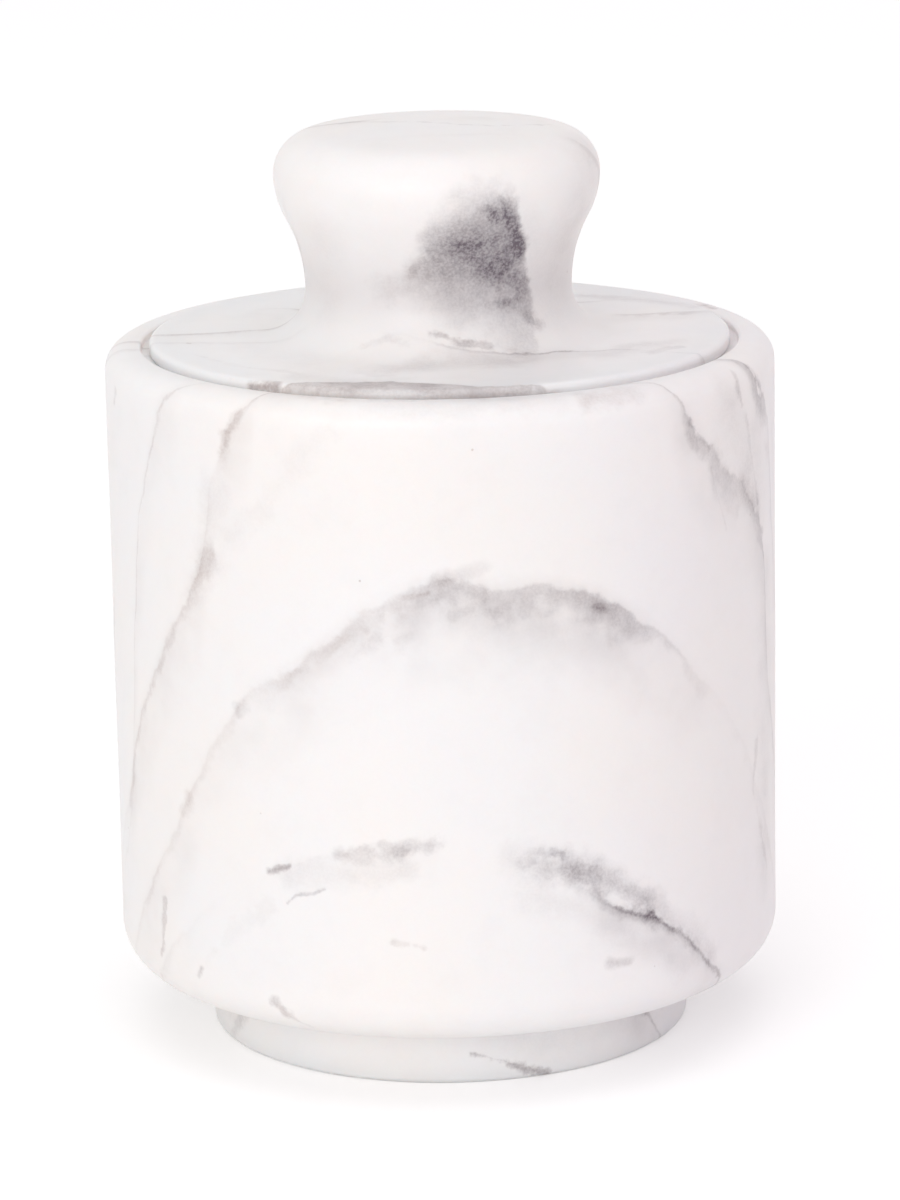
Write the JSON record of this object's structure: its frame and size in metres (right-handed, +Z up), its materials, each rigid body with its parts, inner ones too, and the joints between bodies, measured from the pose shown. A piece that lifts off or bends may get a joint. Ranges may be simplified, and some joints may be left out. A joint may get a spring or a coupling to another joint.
{
  "type": "salt cellar",
  "caption": "Turned white marble salt cellar: a straight-sided footed bowl with a drop-in lid and a waisted knob.",
  "frame": {"origin": "centre of the foot's flat underside, on the surface the cellar stands on", "axes": "+Z up along the turning axis, -Y towards the front of the picture, +X to its right"},
  "size_m": [0.1, 0.1, 0.1375],
  "materials": {
    "bowl_marble": "honed white marble with grey veins",
    "lid_marble": "honed white marble with grey veins"
  },
  "bodies": {
    "bowl": {"bowl": "bowl_marble"},
    "lid": {"lid": "lid_marble"}
  },
  "joints": [
    {"name": "lid_lift", "type": "slide", "parent": "bowl", "child": "lid", "axis": [0, 0, 1], "range_m": [0, 0.08]}
  ]
}
